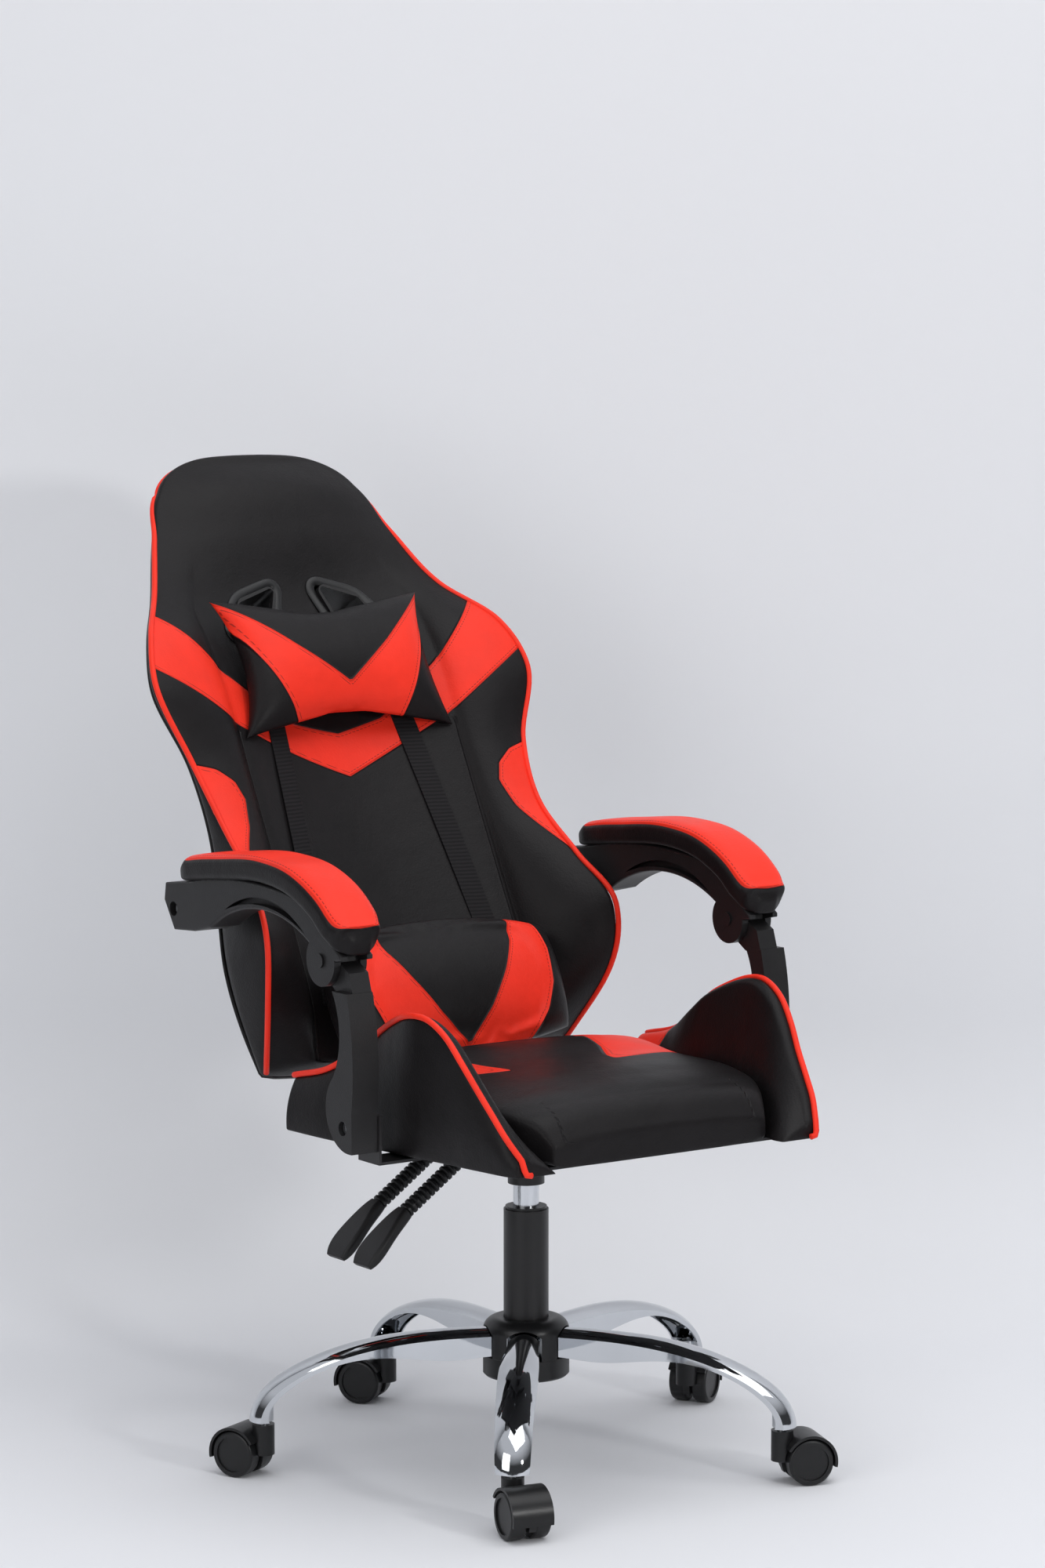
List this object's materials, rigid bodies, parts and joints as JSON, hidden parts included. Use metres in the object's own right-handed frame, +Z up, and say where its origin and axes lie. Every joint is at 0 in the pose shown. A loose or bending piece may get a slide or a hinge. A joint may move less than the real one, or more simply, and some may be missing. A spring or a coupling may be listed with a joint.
{
  "type": "reclining gaming chair",
  "caption": "Reclining racing-style office chair with winged backrest, raised seat sides, linked padded armrests, strap-on pillows, gas lift and a rolling chrome base.",
  "frame": {"origin": "on the floor under the seat's swivel axis", "axes": "+Z up along the gas lift; the seat faces -Y; the sitter's left hand and the left nodes are on +X, the levers on -X"},
  "size_m": [0.6577, 0.8706, 1.0676],
  "materials": {
    "chrome": "bright plated",
    "nylon": "moulded satin",
    "wheel": "moulded satin",
    "steel": "zinc plated",
    "bright_steel": "ground",
    "black_plastic": "fine texture",
    "bush_plastic": "moulded",
    "black_metal": "powder coated",
    "seat_board": "powder coated",
    "black_leather": "satin fine grain",
    "pillow_leather": "satin fine grain",
    "arm_leather": "satin fine grain",
    "webbing": "woven",
    "sleeve_rubber": "matt"
  },
  "bodies": {
    "base": {"hub_core": "steel", "hub_cover_upper": "black_plastic", "hub_cover_lower": "black_plastic", "gas_tube": "black_metal", "guide_bush": "bush_plastic", "leg_1": "chrome", "leg_2": "chrome", "leg_3": "chrome", "leg_4": "chrome", "leg_5": "chrome"},
    "lift_rod": {"piston_rod": "steel"},
    "seat": {"gas_cylinder": "bright_steel", "mechanism": "black_metal", "seat_pan": "seat_board", "seat_fasteners": "steel", "seat_cushion": "black_leather", "seat_bolster_left": "black_leather", "seat_bolster_right": "black_leather", "post_brackets": "black_metal"},
    "release_button": {"release_button": "steel"},
    "lift_lever": {"lift_lever_rod": "black_metal", "lift_lever_bellows": "sleeve_rubber", "lift_lever_paddle": "black_plastic"},
    "lock_lever": {"lock_lever_rod": "black_metal", "lock_lever_bellows": "sleeve_rubber", "lock_lever_paddle": "black_plastic"},
    "backrest": {"back_middle": "black_leather", "back_wing_left": "black_leather", "back_wing_right": "black_leather", "back_head": "black_leather", "back_shell": "black_leather", "strap_mouldings": "black_plastic", "back_bar": "black_metal", "back_fasteners": "steel", "pillow_straps": "webbing"},
    "head_pillow": {"head_pillow": "pillow_leather"},
    "lumbar_pillow": {"lumbar_pillow": "pillow_leather"},
    "caster_1": {"caster_1_housing": "nylon", "caster_1_pins": "steel"},
    "wheels_1": {"caster_1_wheels": "wheel"},
    "caster_2": {"caster_2_housing": "nylon", "caster_2_pins": "steel"},
    "wheels_2": {"caster_2_wheels": "wheel"},
    "caster_3": {"caster_3_housing": "nylon", "caster_3_pins": "steel"},
    "wheels_3": {"caster_3_wheels": "wheel"},
    "caster_4": {"caster_4_housing": "nylon", "caster_4_pins": "steel"},
    "wheels_4": {"caster_4_wheels": "wheel"},
    "caster_5": {"caster_5_housing": "nylon", "caster_5_pins": "steel"},
    "wheels_5": {"caster_5_wheels": "wheel"},
    "post_left": {"post_left": "black_plastic"},
    "arm_left": {"arm_frame_left": "black_plastic", "arm_pad_left": "arm_leather", "arm_pin_left": "steel"},
    "post_right": {"post_right": "black_plastic"},
    "arm_right": {"arm_frame_right": "black_plastic", "arm_pad_right": "arm_leather", "arm_pin_right": "steel"}
  },
  "joints": [
    {"name": "caster_1_swivel", "type": "hinge", "parent": "base", "child": "caster_1", "pos_m": [0.00866, 0.29187, 0.058], "axis": [0, 0, 1], "continuous": true},
    {"name": "caster_1_roll", "type": "hinge", "parent": "caster_1", "child": "wheels_1", "pos_m": [-0.00599, 0.31335, 0.025], "axis": [-0.8261, -0.5635, 0], "continuous": true},
    {"name": "caster_2_swivel", "type": "hinge", "parent": "base", "child": "caster_2", "pos_m": [-0.27491, 0.09843, 0.058], "axis": [0, 0, 1], "continuous": true},
    {"name": "caster_2_roll", "type": "hinge", "parent": "caster_2", "child": "wheels_2", "pos_m": [-0.28561, 0.12213, 0.025], "axis": [-0.9114, -0.4115, 0], "continuous": true},
    {"name": "caster_3_swivel", "type": "hinge", "parent": "base", "child": "caster_3", "pos_m": [-0.17857, -0.23104, 0.058], "axis": [0, 0, 1], "continuous": true},
    {"name": "caster_3_roll", "type": "hinge", "parent": "caster_3", "child": "wheels_3", "pos_m": [-0.18384, -0.2565, 0.025], "axis": [0.9792, -0.2028, 0], "continuous": true},
    {"name": "caster_4_swivel", "type": "hinge", "parent": "base", "child": "caster_4", "pos_m": [0.16455, -0.24122, 0.058], "axis": [0, 0, 1], "continuous": true},
    {"name": "caster_4_roll", "type": "hinge", "parent": "caster_4", "child": "wheels_4", "pos_m": [0.18903, -0.24999, 0.025], "axis": [0.3371, 0.9415, 0], "continuous": true},
    {"name": "caster_5_swivel", "type": "hinge", "parent": "base", "child": "caster_5", "pos_m": [0.28026, 0.08196, 0.058], "axis": [0, 0, 1], "continuous": true},
    {"name": "caster_5_roll", "type": "hinge", "parent": "caster_5", "child": "wheels_5", "pos_m": [0.30248, 0.09546, 0.025], "axis": [-0.5195, 0.8545, 0], "continuous": true},
    {"name": "seat_swivel", "type": "hinge", "parent": "base", "child": "lift_rod", "pos_m": [0, 0, 0.2], "axis": [0, 0, 1], "continuous": true},
    {"name": "seat_height", "type": "slide", "parent": "lift_rod", "child": "seat", "axis": [0, 0, 1], "range_m": [-0.02, 0.06]},
    {"name": "lift_lever_turn", "type": "hinge", "parent": "seat", "child": "lift_lever", "pos_m": [-0.042, 0, 0.3463], "axis": [0, 1, 0], "range_deg": [0, 5], "stiffness_Nm_per_rad": 6},
    {"name": "button_press", "type": "slide", "parent": "seat", "child": "release_button", "axis": [0, 0, -1], "range_m": [0, 0.0045]},
    {"name": "lock_lever_turn", "type": "hinge", "parent": "seat", "child": "lock_lever", "pos_m": [-0.042, 0.052, 0.3463], "axis": [0, 1, 0], "range_deg": [0, 5], "stiffness_Nm_per_rad": 6},
    {"name": "recline", "type": "hinge", "parent": "seat", "child": "backrest", "pos_m": [0, 0.085, 0.352], "axis": [-1, 0, 0], "range_deg": [-12, 16]},
    {"name": "head_pillow_slide", "type": "slide", "parent": "backrest", "child": "head_pillow", "axis": [0, 0.4695, 0.8829], "range_m": [0, 0.04]},
    {"name": "lumbar_pillow_slide", "type": "slide", "parent": "backrest", "child": "lumbar_pillow", "axis": [0, 0.4695, 0.8829], "range_m": [0, 0.08]},
    {"name": "post_left_turn", "type": "hinge", "parent": "seat", "child": "post_left", "pos_m": [0.269, -0.077, 0.407], "axis": [-1, 0, 0], "range_deg": [-17, 22.5]},
    {"name": "arm_left_turn", "type": "hinge", "parent": "post_left", "child": "arm_left", "pos_m": [0.265, -0.036, 0.577], "axis": [-1, 0, 0], "range_deg": [-16.5, 12.5]},
    {"name": "post_right_turn", "type": "hinge", "parent": "seat", "child": "post_right", "pos_m": [-0.269, -0.077, 0.407], "axis": [-1, 0, 0], "range_deg": [-17, 22.5]},
    {"name": "arm_right_turn", "type": "hinge", "parent": "post_right", "child": "arm_right", "pos_m": [-0.265, -0.036, 0.577], "axis": [-1, 0, 0], "range_deg": [-16.5, 12.5]}
  ],
  "couplings": [
    {"joint": "button_press", "follows": "lift_lever_turn", "m_per_rad": 0.048},
    {"joint": "post_left_turn", "follows": "recline", "ratio": 1.379},
    {"joint": "arm_left_turn", "follows": "recline", "ratio": -0.994},
    {"joint": "post_right_turn", "follows": "recline", "ratio": 1.379},
    {"joint": "arm_right_turn", "follows": "recline", "ratio": -0.994}
  ]
}
